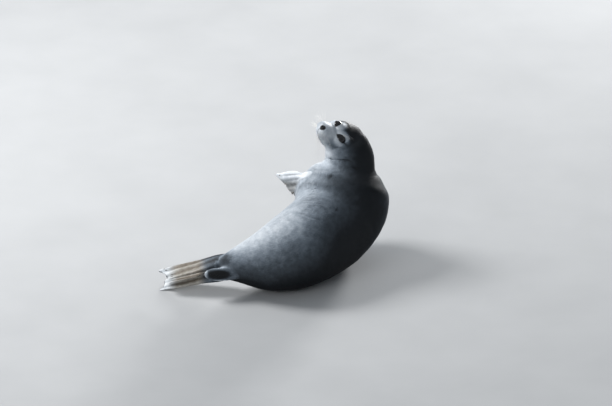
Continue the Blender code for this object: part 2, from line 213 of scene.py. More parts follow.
# ---- meshes as arrays
class Surface:
    """A mesh's points and neighbours as arrays, for sculpting in code."""

    def __init__(self, mesh):
        self.mesh = mesh
        self.count = len(mesh.vertices)
        self.co = np.empty((self.count, 3), np.float32)
        mesh.vertices.foreach_get("co", self.co.ravel())
        ends = np.empty(len(mesh.edges) * 2, np.int32)
        mesh.edges.foreach_get("vertices", ends)
        ends = ends.reshape(-1, 2)
        both = np.vstack([ends, ends[:, ::-1]])
        both = both[np.argsort(both[:, 0], kind="stable")]
        self.others = both[:, 1]
        self.starts = np.searchsorted(both[:, 0], np.arange(self.count))
        self.valence = np.diff(np.append(self.starts, len(both))).astype(np.float32)

    def average(self, values):
        """The mean of each point's neighbours."""
        total = np.add.reduceat(values[self.others], self.starts, axis=0)
        return total / (self.valence[:, None] if values.ndim > 1 else self.valence)

    def spread(self, values, times):
        for _ in range(times):
            values = 0.5 * values + 0.5 * self.average(values)
        return values

    def relax(self, weight, times):
        """Evens out the surface where the weight is above 0."""
        weight = (np.broadcast_to(weight, self.count)[:, None] * 0.6).astype(np.float32)
        for _ in range(times):
            self.co += weight * (self.average(self.co) - self.co)

    def normals(self):
        self.write()
        out = np.empty((self.count, 3), np.float32)
        self.mesh.vertices.foreach_get("normal", out.ravel())
        return out

    def write(self):
        self.mesh.vertices.foreach_set("co", self.co.ravel())
        self.mesh.update()


def new_object(name, data):
    obj = bpy.data.objects.new(name, data)
    bpy.context.scene.collection.objects.link(obj)
    return obj


def applied(obj):
    """The object's mesh with its modifiers applied."""
    bpy.context.view_layer.update()
    graph = bpy.context.evaluated_depsgraph_get()
    mesh = bpy.data.meshes.new_from_object(obj.evaluated_get(graph))
    old = obj.data
    obj.modifiers.clear()
    obj.data = mesh
    bpy.data.meshes.remove(old)
    return mesh


@contextmanager
def edited(mesh):
    """The mesh as a bmesh, which is written back at the end."""
    bm = bmesh.new()
    bm.from_mesh(mesh)
    bm.verts.ensure_lookup_table()
    yield bm
    bm.to_mesh(mesh)
    bm.free()


def set_attribute(mesh, name, values):
    attribute = mesh.attributes.new(name, "FLOAT", "POINT")
    attribute.data.foreach_set("value", np.asarray(values, np.float32))


def triangles_of(mesh):
    mesh.calc_loop_triangles()
    out = np.empty(len(mesh.loop_triangles) * 3, np.int32)
    mesh.loop_triangles.foreach_get("vertices", out)
    return out.reshape(-1, 3)


def ring(centre, across, over, sides):
    """Points round a centre, from across towards over."""
    turn = 2 * math.pi * np.arange(sides)[:, None] / sides
    return centre + np.cos(turn) * across + np.sin(turn) * over


def tube_piece(name, tubes, material, closed=True):
    """A piece made of tubes. Each is its rings of points, and is closed over its ends or not."""
    points, faces = [], []
    for rings in tubes:
        here = len(points) + np.arange(len(rings) * len(rings[0])).reshape(len(rings), -1)
        beside = np.roll(here, -1, axis=1)
        faces += np.stack([here[:-1], beside[:-1], beside[1:], here[1:]], axis=-1).reshape(-1, 4).tolist()
        if closed:
            faces += [here[0, ::-1].tolist(), here[-1].tolist()]
        points += np.reshape(rings, (-1, 3)).tolist()
    mesh = bpy.data.meshes.new(name)
    mesh.from_pydata(points, [], faces)
    mesh.shade_smooth()
    mesh.materials.append(material)
    return new_object(name, mesh)


# ---- skin: first form
CLAWS = [(f"{limb}_claw_{number}", limb) for limb in FLIPPERS for number in range(1, 6)]
TOE = (0.015, 0.0105, 0.0044)  # half length, half width and half thickness of a digit's round end
DIGIT_HALF = 0.008  # flesh that is this near to a claw, across the limb, is of its digit
DIGIT_END = 0.012  # the length of the digit's end that gives the height of its middle
OUTER_REACH = 0.001  # how far a round end reaches past the flesh
HIND_INNER = 0.011  # the same for the inner digits of the hind flippers
WEB = (0.021, 0.8, 0.0036)  # as TOE for the web between two digits, its width a share of the gap
WEB_BACK = 0.003  # how far the web's middle lies behind those of its digits


def claw_line(node, limb):
    """A claw's root and tip, and how far its middle lies from the line between them."""
    co = np.array([v.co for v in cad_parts[node].data.vertices])
    middle = co.mean(axis=0)
    along = svd(co - middle)[2][0]
    if along @ LIMBS[limb].forward < 0:
        along = -along
    reach = (co - middle) @ along
    tip, root = co[reach.argmax()], co[reach < np.percentile(reach, 35)].mean(axis=0)
    along = unit(tip - root)
    return root, tip, middle - (root + along * ((middle - root) @ along))


def toe_ends():
    """The limb, middle and size of each digit's round end, which the frame leaves square, and of each web."""
    ends = []
    for node, limb in CLAWS:
        axes = LIMBS[limb]
        flesh = axes.to_local(np.array([v.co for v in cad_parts[limb].data.vertices]))
        root, _ = axes.to_local(np.array(claw_line(node, limb)[:2]))
        near = flesh[np.abs(flesh[:, 1] - root[1]) < DIGIT_HALF]
        end = near[near[:, 0] > near[:, 0].max() - DIGIT_END]
        further = HIND_INNER if limb.startswith("hind") and node[-1] in "234" else OUTER_REACH
        ends.append((limb, np.array([end[:, 0].max() - TOE[0] + further, root[1], end[:, 2].mean()]), TOE))
    for (limb, one, _), (other_limb, other, _) in zip(ends[:-1], ends[1:]):
        if limb == other_limb:
            middle = (one + other) / 2 - (WEB_BACK, 0, 0)
            ends.append((limb, middle, (WEB[0], WEB[1] * abs(one[1] - other[1]), WEB[2])))
    return ends


def join_flesh():
    """All flesh nodes in one mesh, each swollen a little, and a lookup from a point to its node."""
    whole = bmesh.new()
    corners, owners = [], []
    for name in FLESH + EYE_NODES:
        part = bmesh.new()
        part.from_mesh(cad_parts[name].data)
        bmesh.ops.remove_doubles(part, verts=part.verts, dist=SAME_POINT)
        part.normal_update()
        swell = CLOSE_LIMB if name in LIMBS else CLOSE_CUTS
        for vert in part.verts:
            vert.co += vert.normal * swell
        mesh = bpy.data.meshes.new(name + "_flesh")
        part.to_mesh(mesh)
        part.free()
        whole.from_mesh(mesh)
        tris = triangles_of(mesh)
        corners.append(np.array([v.co for v in mesh.vertices])[tris].reshape(-1, 3))
        owners += [FLESH.index("head" if name in EYE_NODES else name)] * len(tris)
        bpy.data.meshes.remove(mesh)
    for limb, centre, size in toe_ends():
        for vert in bmesh.ops.create_icosphere(whole, subdivisions=3, radius=1.0)["verts"]:
            vert.co = LIMBS[limb].to_world(centre + np.array(vert.co) * size)
    mesh = bpy.data.meshes.new("skin")
    whole.to_mesh(mesh)
    whole.free()
    faces = np.arange(3 * len(owners)).reshape(-1, 3).tolist()
    return mesh, BVHTree.FromPolygons(np.vstack(corners).tolist(), faces), np.array(owners)


FLESH_MESH, FLESH_LOOKUP, FLESH_OWNERS = join_flesh()


def keep_largest_island(mesh):
    surface = Surface(mesh)
    label = np.arange(surface.count)
    while True:
        lowest = np.minimum.reduceat(label[surface.others], surface.starts)
        new = np.minimum(label, lowest)
        new = new[new]
        if (new == label).all():
            break
        label = new
    names, sizes = np.unique(label, return_counts=True)
    with edited(mesh) as bm:
        loose = [bm.verts[i] for i in np.nonzero(label != names[sizes.argmax()])[0]]
        bmesh.ops.delete(bm, geom=loose, context="VERTS")


def refine(mesh, chosen):
    """Halves the edges between the chosen points."""
    inside = set(np.nonzero(chosen)[0].tolist())
    with edited(mesh) as bm:
        edges = [e for e in bm.edges if e.verts[0].index in inside and e.verts[1].index in inside]
        bmesh.ops.subdivide_edges(bm, edges=edges, cuts=1, use_grid_fill=True)


def region_weights(surface, times):
    """For each flesh node, how much each point belongs to it, softened across the borders."""
    nearest = np.fromiter((FLESH_LOOKUP.find_nearest(p)[2] for p in surface.co), int, surface.count)
    hard = np.eye(len(FLESH), dtype=np.float32)[FLESH_OWNERS[nearest]]
    return dict(zip(FLESH, surface.spread(hard, times).T))


def share_of(weights, names=FLESH):
    return sum(weights[name] for name in names)


# The face gets finer points in steps: within these distances of the eyes and of the muzzle's middle.
FACE_REFINED = ((0.045, 0.05), (0.032, 0.036))
MUZZLE = (0.078, 0, -0.03)
NAPE = (0.345, 0.01, 0.365)  # a ledge between neck and back
NAPE_REACH = 0.06  # how far round it the skin is smoothed


def first_skin():
    obj = new_object("skin", FLESH_MESH)
    remesh = obj.modifiers.new("remesh", "REMESH")
    remesh.mode = "VOXEL"
    remesh.voxel_size = VOXEL
    mesh = applied(obj)
    keep_largest_island(mesh)
    surface = Surface(mesh)
    weights = region_weights(surface, 24)
    mixed = 1 - np.max(list(weights.values()), axis=0)
    joints = ease(surface.spread(mixed, 16), 0.05, 0.3)
    limbs = np.max([weights[name] for name in LIMBS], axis=0)
    skull = weights["head"]
    face = skull * ease(head.to_local(surface.co)[:, 0], -0.05, -0.015)
    surface.relax(np.maximum(1 - limbs - skull, 0), 90)
    surface.relax(np.maximum(joints, 0.5 * skull), 40)
    surface.relax(joints * (1 - face), 150)
    surface.relax(bump_near(surface.co, NAPE, NAPE_REACH), 150)
    surface.relax(0.5 * limbs, 3)
    for name in LIMBS:
        along, _, _ = limb_places(surface.co, name)
        surface.relax(weights[name] * ease(along, 0.72, 0.92), 14)
    surface.write()
    for reach, muzzle_reach in FACE_REFINED:
        co = Surface(mesh).co
        near = distance(co, head.to_world(MUZZLE)) < muzzle_reach
        for centre in EYE_CENTRES.values():
            near |= distance(co, centre) < reach
        refine(mesh, near)
    surface = Surface(mesh)
    return obj, surface, region_weights(surface, 8)


# ---- skin: sculpting
EYE_RADIUS = 0.025
EYE_SINK = (-0.0045, -0.004, -0.008)  # the way from the frame's eyeball: forward, outward and upward
EYE_FACING = (0.5, 0.48, 0.72)  # forward, outward and upward shares of the way an eye looks
EYE_CORNERS = (-0.9, 0.18, -0.38)  # from the inner corner of an eye to the outer one
OPENING = (0.0222, 0.0132, 0.0118)  # half length of the eye's opening, and its rise above and below
LID = 0.0006  # how far the lids stand off the eyeball
LID_RIM = (0.0002, 0.0014, 0.0012)  # their rim's rise, its distance from the opening, and its reach
LID_CREASE = (0.0003, 0.006, 0.0012)  # the crease outside it: its depth, distance and reach
LID_END = 0.014  # where the lids have run out into the face
SOCKET = 0.003  # how far the skin dives under the eyeball inside the opening
NOSTRILS = ((0.089, 0.0028, -0.0225), (0.088, 0.0052, -0.017), (0.083, 0.0088, -0.012))
PHILTRUM = ((0.09, 0, -0.026), (0.089, 0, -0.035), (0.086, 0, -0.043))
MOUTH = ((0.03, 0.048, -0.061), (0.05, 0.0425, -0.062), (0.068, 0.033, -0.057),
         (0.081, 0.0185, -0.05), (0.0875, 0, -0.0455))
WHISKER_PAD = (0.074, 0.021, -0.034)
BRIDGE = (0.0185, 0, 0.002)  # between the eyes' inner corners
BRIDGE_REACH = 0.022
EAR = (-0.06, 0.066, -0.03)
EAR_RIM = (EAR[0] + 0.006, EAR[1] + 0.002, EAR[2] + 0.003)
# What raises the face, or lowers it: a place or a line, the rise, and the reach.
FACE_BUMPS = (
    ((-0.006, 0.05, -0.005), 0.0035, 0.02),  # the mound behind the eye
    ((-0.096, 0.02, 0.032), 0.0045, 0.03),  # fills the dip behind the crown
    (WHISKER_PAD, 0.0036, 0.013),
    ((0.046, 0.03, -0.008), -0.003, 0.015),  # between the pad and the eye
    ((0.08, 0, -0.056), 0.002, 0.01),  # lower lip
    ((0.02, 0.024, 0.018), 0.0018, 0.008),  # brow over the inner corner
    ((-0.012, 0.048, 0.018), 0.0022, 0.01),  # brow over the outer corner
    (NOSE_PAD, 0.0016, 0.0105),
    (MOUTH, -0.0038, 0.0022),
    (PHILTRUM, -0.0016, 0.0013),
    (NOSTRILS, -0.0042, 0.0015),
    ((0.0875, 0.0105, -0.019), 0.001, 0.004),  # wings of the nose
    (EAR, -0.0048, 0.0024),
    (EAR_RIM, 0.0014, 0.004),
)
BUMP_LIMIT = 0.075  # a bump or line moves nothing further than this from its middle
# Grooves in the trunk's skin: depth, reach, and the points that each runs through, in millimetres. First two
# creases at the neck's base, then the folds behind the left fore flipper.
GROOVES = (
    (0.0024, 0.0052, ((200, 150, 398), (230, 97, 419), (262, 78, 426), (298, 69, 425), (330, 62, 404))),
    (0.0016, 0.0042, ((300, 62, 405), (318, 55, 400), (338, 58, 388))),
    (0.0014, 0.0041, ((106, -179, 305), (136, -192, 303), (164, -196, 296), (186, -203, 286))),
    (0.001, 0.0034, ((100, -158, 306), (132, -165, 312), (172, -172, 307))),
    (0.0012, 0.0034, ((110, -136, 315), (140, -140, 318), (172, -146, 316))),
    (0.0016, 0.0041, ((118, -107, 320), (159, -114, 324), (199, -115, 320), (240, -112, 310))),
    (0.0011, 0.0034, ((112, -82, 318), (142, -93, 326), (170, -101, 326))),
    (0.0019, 0.0037, ((108, -52, 316), (146, -75, 328), (189, -87, 329), (212, -97, 322))),
    (0.0018, 0.0034, ((122, -40, 322), (157, -48, 333), (197, -66, 333))),
    (0.0014, 0.0031, ((120, -14, 320), (158, -15, 340), (176, -22, 341))),
    (0.001, 0.0027, ((126, 10, 326), (150, 1, 342))),
    (0.0008, 0.0041, ((189, -143, 313), (227, -146, 300), (250, -150, 288))),
)
GROOVE_LIMIT = 0.12  # a groove moves nothing further than this from its middle
ROOT_DIP = (0.009, 0.023, (0.104, 0.107, 0.352))  # where the left fore flipper's edge meets the body
FLESH_SWELL = 0.0008  # low swells all over the trunk
DIGIT_RIDGE = 0.0013  # how high a flipper's digits stand
FIRST_DIGIT = 0.004  # how much thicker a fore flipper is along its first digit
HIND_WIDER = 0.014  # how much the hind flippers widen towards their edges


class EyeAxes(Axes):
    """An eye: forward is the way it looks, left runs from its inner to its outer corner."""

    def __init__(self, name, side):
        sink, facing, corners = np.array([EYE_SINK, EYE_FACING, EYE_CORNERS]) * (1, side, 1) @ head.rows
        super().__init__(EYE_CENTRES[name] + sink, facing, corners)
        if self.up @ head.up < 0:
            self.up = -self.up
            self.rows[2] = self.up


EYES = {name: EyeAxes(name, side) for name, side in EYE_SIDES}


def outside_opening(local):
    """Distance from the edge of the eye's opening along the eyeball: above 0 on the lids, below 0 inside."""
    length, above, below = OPENING
    direction = unit(local)
    x, y = direction[:, 1] * EYE_RADIUS, direction[:, 2] * EYE_RADIUS
    rise = np.where(y > 0, above, below) * np.maximum(1 - (x / length) ** 2, 0) ** 0.62
    apart = np.where(np.abs(x) < length, np.abs(y) - rise, np.hypot(np.abs(x) - length, y))
    return np.where(direction[:, 0] > 0, apart, EYE_RADIUS)


def set_eyes(surface):
    """Lids that wrap the eyeballs, with a crisp rim round an almond opening."""
    rim_rise, rim_place, rim_reach = LID_RIM
    crease_depth, crease_place, crease_reach = LID_CREASE
    for axes in EYES.values():
        local = axes.to_local(surface.co)
        radius = norm(local, axis=1)
        direction = unit(local)
        near = (radius < 1.8 * EYE_RADIUS) & (direction[:, 0] > 0.0)
        radius, direction = radius[near], direction[near]
        apart = outside_opening(local[near])
        rim = EYE_RADIUS + LID + rim_rise * bump_at(apart - rim_place, rim_reach)
        lid = rim + (radius - rim) * ease(apart, 0.0004, LID_END) ** 1.3
        crease = crease_depth * bump_at(apart - crease_place, crease_reach)
        crease = crease * ease(direction[:, 1], -0.2, 0.2)
        inside = ease(-apart, -0.0002, 0.0012)
        new = (lid - crease) * (1 - inside) + (EYE_RADIUS - SOCKET) * inside
        new = radius + (new - radius) * ease(direction[:, 0], 0.02, 0.4)
        surface.co[near] = axes.to_world(direction * new[:, None])
    apart = np.minimum(*(outside_opening(axes.to_local(surface.co)) for axes in EYES.values()))
    bridge = bump_near(head.to_local(surface.co), BRIDGE, BRIDGE_REACH)
    surface.relax(bridge * ease(apart, 0.0012, 0.0035), 130)


def both_sides(place):
    """A place or line on the head's left side and its mirror image, or only the one on the middle."""
    place = np.array(place, float)
    if not np.atleast_2d(place)[:, 1].any():
        return [place]
    return [place, place * (1, -1, 1)]


def laid_on(local, line):
    """A line's points, each moved to the nearest of the head's own."""
    return np.array([local[((local - point) ** 2).sum(axis=1).argmin()] for point in line])


def sculpt_face(surface):
    normals = surface.normals()
    for place, rise, reach in FACE_BUMPS:
        local = head.to_local(surface.co)
        for spot in both_sides(place):
            near = np.nonzero(distance(local, np.atleast_2d(spot).mean(axis=0)) < BUMP_LIMIT)[0]
            if spot.ndim == 1:
                apart = distance(local[near], spot)
            else:
                apart, _ = distance_to_line(local[near], laid_on(local, spot))
            surface.co[near] += normals[near] * (rise * bump_at(apart, reach))[:, None]


def grooves(points):
    """How deep the creases and folds are at each point, with a low swell beside each."""
    depth = np.zeros(len(points))
    wobble = (value_noise(points, 0.022, 3) * 0.0028)[:, None] * (0.3, 0.8, 0.5)
    for deep, reach, line in GROOVES:
        line = np.array(line) / 1000
        near = distance(points, np.mean(line, axis=0)) < GROOVE_LIMIT
        apart, share = distance_to_line(points[near] + wobble[near], line)
        ends = ease(share, 0, 0.25) * (1 - ease(share, 0.55, 1))
        swell = bump_at(apart - 2.8 * reach, 2.2 * reach)
        depth[near] += deep * ends * (bump_at(apart, reach) - 0.35 * swell)
    return depth


def limb_places(points, name):
    """Points by their share of a limb's length, their place across it, from its last digit at -1 to its first
    at 1, and their height over its middle."""
    local = LIMBS[name].to_local(points)
    along = local[:, 0] / LIMB_LENGTH[name]
    if name == "tail":
        return along, (local[:, 1] + 0.003) / 0.027, local[:, 2]
    half_width = 0.034 + 0.006 * ease(along, 0.1, 1.0)
    return along, local[:, 1] / half_width, local[:, 2]


def sculpt_body(surface, weights):
    normals = surface.normals()
    move = -grooves(surface.co)
    dip, reach, place = ROOT_DIP
    move -= dip * bump_near(surface.co, place, reach)
    soft = share_of(weights, ("chest", "abdomen", "neck", "hips"))
    move += soft * FLESH_SWELL * value_noise(surface.co, 0.05, 11)
    for name in FLIPPERS:
        along, across, _ = limb_places(surface.co, name)
        ridge = np.cos(math.pi * 2 * (1 - across)) * ease(along, 0.25, 0.6)
        move += weights[name] * DIGIT_RIDGE * ridge
        if name.startswith("fore"):
            move += weights[name] * FIRST_DIGIT * ease(across, -0.4, 0.6) * bump_at(along - 0.68, 0.5)
    surface.co += normals * move[:, None]
    for name, side in (("hind_flipper_left", -1), ("hind_flipper_right", 1)):
        along, across, _ = limb_places(surface.co, name)
        wider = HIND_WIDER * bump_at(along - 0.3, 0.55) * ease(across * side, -0.3, 0.9)
        surface.co += (weights[name] * wider)[:, None] * LIMBS[name].left * side


COAT_DEPTH = 0.0022  # of the short fur on the trunk; less on the face and limbs


def inset(surface, weights):
    """How far the skin lies inside its first form: the coat's depth, and what closed the cuts."""
    limbs = share_of(weights, LIMBS)
    face = weights["head"] * ease(head.to_local(surface.co)[:, 0], -0.06, 0.03)
    coat = COAT_DEPTH * (1 - 0.8 * limbs) * (1 - 0.75 * face)
    return CLOSE_CUTS + (CLOSE_LIMB - CLOSE_CUTS) * limbs * 0.3 + coat


def make_skin():
    obj, surface, weights = first_skin()
    surface.co -= surface.normals() * inset(surface, weights)[:, None]
    sculpt_body(surface, weights)
    sculpt_face(surface)
    set_eyes(surface)
    surface.co[:, 2] = np.maximum(surface.co[:, 2], 0.0)
    surface.write()
    thin = obj.modifiers.new("thin", "DECIMATE")
    thin.ratio = min(1.0, SKIN_TRIANGLES / len(triangles_of(obj.data)))
    applied(obj).shade_smooth()
    return obj


# ---- markings, with painted light and shade: the same for skin and coat
# Small dark marks: place and reach.
SPOTS = (((0.224, 0.018, 0.386), 0.0085), ((0.33, -0.06, 0.33), 0.005), ((0.25, -0.12, 0.3), 0.0045))
ANKLE_SHADE = (-0.19, -0.247, 0.15)  # painted shade: dark grey round the root of the left hind flipper
BLACK_BACK, BLACK_CROWN, WHITE_THROAT, EYE_RING = 0.076, 0.085, 0.86, 0.95  # how bright these are
DOTS = 1100  # the rate of the rows of dark dots from which the whiskers grow
# The trunk's marking: station, the angles to the left at which grey starts and silver is reached, those of
# the paler band on the right, and how bright the silver is.
BANDS = np.array([
    (1.0, -40, 86, -50, -150, 0.82), (2.2, -46, 86, -60, -155, 0.82), (3.2, -44, 78, -75, -155, 0.8),
    (4.4, -26, 82, -75, -155, 0.74), (5.3, 8, 106, -55, -155, 0.62), (6.3, 6, 108, -14, -165, 0.58),
    (7.5, 4, 102, 6, -165, 0.66), (9.0, 8, 104, 0, -155, 0.62), (10.5, 17, 106, -14, -140, 0.62),
    (12.0, 14, 98, -20, -130, 0.8)])


def trunk_brightness(points, stations, angles):
    """Near black along the back, through greys, to silver on the flanks and the belly."""
    lean = value_noise(points, 0.07, 21) * 4 + value_noise(points, 0.016, 22) * 4
    left_start, left_end, right_start, right_end, silver = (np.interp(stations, BANDS[:, 0], column)
                                                            for column in BANDS.T[1:])
    left = np.clip((angles + lean - left_start) / (left_end - left_start), 0, 1)
    right = np.clip((right_start - angles + lean) / (right_start - right_end), 0, 1)
    flank = 0.001 + 0.76 * (left * (0.62 + 0.38 * left)) ** 1.05
    return BLACK_BACK + (flank**-8 + silver**-8) ** (-1 / 8) + 0.62 * ease(right)


def head_brightness(points):
    """Black from the forehead over the crown to the nape, grey cheeks, white muzzle and chin."""
    local = head.to_local(points)
    forward, left, up = local.T
    side = np.abs(left)
    bright = 0.4 + 0.42 * ease(forward, -0.03, 0.045)
    bright -= 0.26 * (ease(side, 0.026, 0.052) * (1 - ease(forward, 0.034, 0.078)))  # grey cheek
    crown = 1 - ease(forward, -0.05, 0.012)
    crown = crown * (1 - ease(side, 0.056, 0.092)) * ease(up, -0.08, -0.03)
    bright = bright * (1 - crown) + BLACK_CROWN * crown
    bright -= 0.16 * bump_at(forward + 0.01, 0.03) * bump_at(side, 0.02) * ease(up, 0.0, 0.02)
    streak = bump_at(side - 0.012 - 0.12 * np.maximum(0.03 - forward, 0), 0.0045)
    bright -= 0.14 * streak * bump_at(forward + 0.006, 0.026)
    throat = ease(-up, 0.034, 0.062)
    bright = bright * (1 - throat) + WHITE_THROAT * throat
    for (_, mirror), axes in zip(EYE_SIDES, EYES.values()):
        place = axes.to_local(points)
        near = 1 - ease(distance(points, axes.origin), 0.03, 0.042)
        round_eye = bump_at(outside_opening(place) - 0.007, 0.007) * near * ease(place[:, 0], 0.0, 0.008)
        bright += (EYE_RING - bright) * 0.75 * round_eye
        bright += 0.22 * bump_near(local, (0.01, 0.03 * mirror, 0.024), 0.012)  # pale brow
    pad = np.minimum(*(distance(local, spot) for spot in both_sides(WHISKER_PAD)))
    bright -= 0.08 * bump_at(pad, 0.016)
    dots = np.sin(left * DOTS) * np.sin((forward + up) * DOTS)
    bright -= 0.3 * ease(dots, 0.45, 0.9) * bump_at(pad, 0.015)
    return bright


def limb_brightness(points, name):
    along, across, _ = limb_places(points, name)
    ridge = 0.5 + 0.5 * np.cos(math.pi * 2 * (1 - across))
    noise = value_noise(points, 0.012, 31) * 0.05
    if name == "tail":
        # The tail is dark in the middle; its paler edges and tip are a painted rim light.
        rim = np.maximum(ease(np.abs(across) + noise, 0.74, 1.0), ease(along + noise, 0.86, 0.98))
        oval = np.hypot((along - 0.56) / 0.36, across / 0.64)
        return 0.04 + 0.36 * ease(oval, 0.75, 1.35) + 0.4 * rim * ease(along, 0.05, 0.4) + noise
    if name.startswith("fore"):
        # Painted shade in the gaps between the digits, stronger towards the last digit.
        edge = 0.12 * (1 - ridge) * ease(-across, -0.5, 0.4)
        return 0.66 + 0.28 * ease(across, -0.2, 0.7) - edge + noise
    dark_root = 1 - ease(along, 0.22, 0.42)
    # Lighter along the digits and darker between them: painted highlights and painted shade.
    return 0.54 + 0.24 * (ridge - 0.5) + 0.3 * ease(along, 0.7, 0.92) - 0.27 * dark_root + noise


def markings_and_painted_light(points, weights):
    """Brightness with its painted light and shade, warmth of colour, and bare black skin at each point."""
    stations, angles, _ = spine.read(points)
    trunk = share_of(weights, TRUNK_NODES)
    bright = trunk_brightness(points, stations, angles) * trunk + head_brightness(points) * weights["head"]
    warm = np.zeros(len(points))
    for name in LIMBS:
        bright += limb_brightness(points, name) * weights[name]
        along, across, _ = limb_places(points, name)
        if name.startswith("hind"):
            middle = ease(along, 0.24, 0.42) * (1 - 0.8 * ease(along, 0.7, 0.92))
            warm += weights[name] * 0.9 * middle
        elif name.startswith("fore"):
            warm += weights[name] * 0.45 * (1 - ease(across, -0.4, 0.5))
    bright = bright / share_of(weights)
    belly = ease(np.abs(angles), 105, 150) * trunk
    warm = np.clip(warm + 0.3 * belly, 0, 1)
    # Painted shade: the creases and folds of the trunk are darkened as if shadowed.
    bright -= 0.42 * ease(grooves(points), 0.0003, 0.0014) * trunk
    # Painted shade round the root of the left hind flipper.
    bright -= 0.48 * bump_near(points, ANKLE_SHADE, 0.034)
    for place, reach in SPOTS:
        bright -= 0.4 * bump_near(points, place, reach)
    return np.clip(bright, 0.02, 0.98), warm, bare_skin(points)


def bare_skin(points):
    """Hairless black skin: the nose, the rims of the lids, the lines of the mouth, and the ears."""
    local = head.to_local(points)
    pad = norm((local - (0.0875, 0, -0.0175)) * (0.85, 1.0, 0.86), axis=1)
    bare = 1 - ease(pad, 0.0104, 0.0122)
    for line, reach in ((PHILTRUM, 0.0013), (MOUTH, 0.0019)):
        for spot in both_sides(line):
            apart, _ = distance_to_line(local, laid_on(local, spot))
            bare = np.maximum(bare, 0.8 * bump_at(apart, reach))
    for spot in both_sides(EAR):
        bare = np.maximum(bare, bump_near(local, spot, 0.004))
    for axes in EYES.values():
        place = axes.to_local(points)
        rim = 1 - ease(outside_opening(place), 0.0005, 0.0016)
        corner = norm(unit(place)[:, 1:] * EYE_RADIUS - (-0.0205, 0.0), axis=1)
        rim = np.maximum(rim, bump_at(corner, 0.0034))
        bare = np.maximum(bare, rim * (norm(place, axis=1) < EYE_RADIUS + 0.006))
    return bare


def lie_of_coat(points, normals, weights):
    """The way that the hair points: from the nose back over the body, and out to the tips of the limbs."""
    _, _, forward = spine.read(points)
    lie = -forward * share_of(weights, TRUNK_NODES)[:, None]
    lie += unit(points - head.to_world(NOSE_TIP)) * weights["head"][:, None]
    for name in LIMBS:
        lie += LIMBS[name].forward * weights[name][:, None]
    return square_to(lie, normals)


# ---- fur
# Tufts in each zone: length, width, height, tufts per square metre, and how far the tips lift off the skin.
TRUNK_FUR = (0.0125, 0.0022, 0.0003, 165000, 0.0006)
NECK_FUR = (0.009, 0.0018, 0.0003, 250000, 0.0005)
SKULL_FUR = (0.007, 0.0015, 0.0003, 380000, 0.0005)
FACE_FUR = (0.0042, 0.0011, 0.0002, 700000, 0.0003)
LIMB_FUR = (0.0062, 0.0016, 0.0003, 330000, 0.0004)
TIP_FUR = (0.004, 0.0013, 0.0002, 420000, 0.0003)
COAT_PIECE_TUFTS = 32000  # at most in one piece of the coat


def fur_at(points, weights):
    """The measures of the fur at each point, blended from zone to zone."""
    total = share_of(weights)
    face = ease(head.to_local(points)[:, 0], -0.045, 0.035)
    zones = [(TRUNK_FUR, total - weights["neck"] - weights["head"] - share_of(weights, LIMBS)),
             (NECK_FUR, weights["neck"]),
             (SKULL_FUR, weights["head"] * (1 - face)), (FACE_FUR, weights["head"] * face)]
    for name in LIMBS:
        tip = ease(limb_places(points, name)[0], 0.45, 0.9)
        zones += [(LIMB_FUR, weights[name] * (1 - tip)), (TIP_FUR, weights[name] * tip)]
    return sum(np.outer(share / total, zone) for zone, share in zones)


def unwrap(points, weights):
    """A place for each point on a flat plan of the body: trunk and head in a sheet, the limbs beside it."""
    stations, angles, _ = spine.read(points)
    local = head.to_local(points)
    round_head = np.degrees(np.arctan2(local[:, 1], local[:, 2] + 0.03))
    on_head = weights["head"] > 0.5
    along = np.where(on_head, 0.6 - local[:, 0] * 0.9, stations / 12 * 0.5)
    plan = np.column_stack([0.02 + along, 0.5 + np.where(on_head, round_head, angles) / 360 * 0.94])
    for index, name in enumerate(LIMBS):
        share, across, through = limb_places(points, name)
        here = weights[name] > 0.5
        face = np.where(through > 0, 0.0, 0.09)
        plan[here, 0] = 0.79 + (face + 0.04 * (across + 1))[here]
        plan[here, 1] = 0.02 + 0.19 * index + 0.17 * np.clip(share, 0, 1)[here]
    return np.clip(plan, 0.004, 0.996)


def scattered(mesh, values, density, seed):
    """Points at random on the mesh, so many to the square metre, with each point's values."""
    rng = np.random.default_rng(seed)
    surface = Surface(mesh)
    tris = triangles_of(mesh)
    a, b, c = (surface.co[tris[:, i]] for i in range(3))
    area = norm(np.cross(b - a, c - a), axis=1) / 2
    wanted = area * density[tris].mean(axis=1)
    count = np.floor(wanted + rng.random(len(wanted))).astype(int)
    tri = np.repeat(np.arange(len(tris)), count)
    u, v = rng.random(len(tri)), rng.random(len(tri))
    flip = u + v > 1
    u[flip], v[flip] = 1 - u[flip], 1 - v[flip]
    shares = np.column_stack([1 - u - v, u, v])
    corners = tris[tri]

    def blend(array):
        array = array.reshape(len(array), -1)
        return sum(shares[:, i:i + 1] * array[corners[:, i]] for i in range(3))

    return blend(surface.co), {name: blend(array) for name, array in values.items()}


# A tuft's corners are its root, its left and right sides, its ridge and its tip. For each: how far its normal
# leans to the side, its place in the tuft's patch of the unwrap, and its share of the way to the tip.
TUFT_LEAN = np.array([0.0, 0.3, -0.3, 0.0, 0.0])
TUFT_PATCH = np.array([(0.5, 0.0), (0.0, 0.5), (1.0, 0.5), (0.5, 0.5), (0.5, 1.0)]) * 0.003
TUFT_SHARE = (0, 0.45, 0.45, 0.5, 1.0)
TUFT_FACES = np.array([(0, 3, 1), (0, 2, 3), (1, 3, 4), (3, 2, 4), (0, 1, 2), (1, 4, 2)])
TUFT_MIDDLE = 0.42  # where its sides and ridge are, as a share of its length
CLEAR_OF_FLOOR = 0.0002


